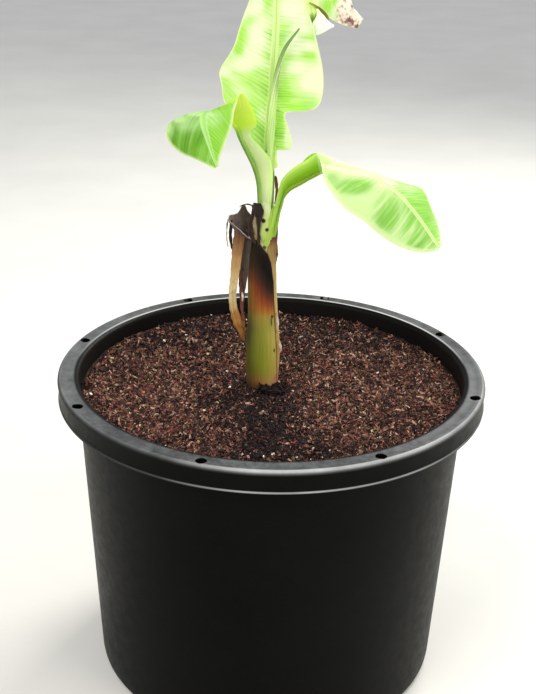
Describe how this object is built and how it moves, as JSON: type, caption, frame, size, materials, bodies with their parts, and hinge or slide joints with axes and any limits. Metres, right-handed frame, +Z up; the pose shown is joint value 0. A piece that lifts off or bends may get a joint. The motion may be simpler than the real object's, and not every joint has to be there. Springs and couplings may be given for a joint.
{
  "type": "potted banana plant",
  "caption": "Young banana plant with upright and arching leaves, sheathed stem and a dead outer leaf, in a round black nursery pot of bark mix.",
  "frame": {"origin": "centre of the pot's flat underside", "axes": "+Z up along the pot and the stem, -Y towards the front, +X to the right as seen from the front"},
  "size_m": [0.65, 0.65, 1.1084],
  "materials": {
    "pot": "satin moulded black polypropylene, greyed and dusty on the rim",
    "potting_mix": "damp reddish-brown bark chips with pale grit",
    "stem": "smooth waxy yellow-green",
    "outer_sheath": "olive green, rusty and blackened at the top",
    "dead_leaf": "dull grey-brown, dry and folded",
    "dry_leaf": "dry straw colour with brown stains",
    "leaf_stalk": "waxy pale green",
    "leaf_blade": "satin bright green with pale rib and margins"
  },
  "bodies": {
    "root": {"pot": "pot", "potting_mix": "potting_mix", "stem": "stem", "tan_sheath": "dry_leaf", "outer_sheath": "outer_sheath", "right_leaf_stalk": "leaf_stalk", "right_leaf_blade": "leaf_blade", "left_leaf_stalk": "leaf_stalk", "left_leaf_blade": "leaf_blade", "centre_leaf_stalk": "leaf_stalk", "centre_leaf_blade": "leaf_blade", "centre_leaf_tip": "leaf_blade", "spear_leaf": "leaf_stalk", "dead_hood": "dead_leaf", "straw_strip": "dry_leaf", "dark_strip": "dead_leaf"}
  },
  "joints": []
}
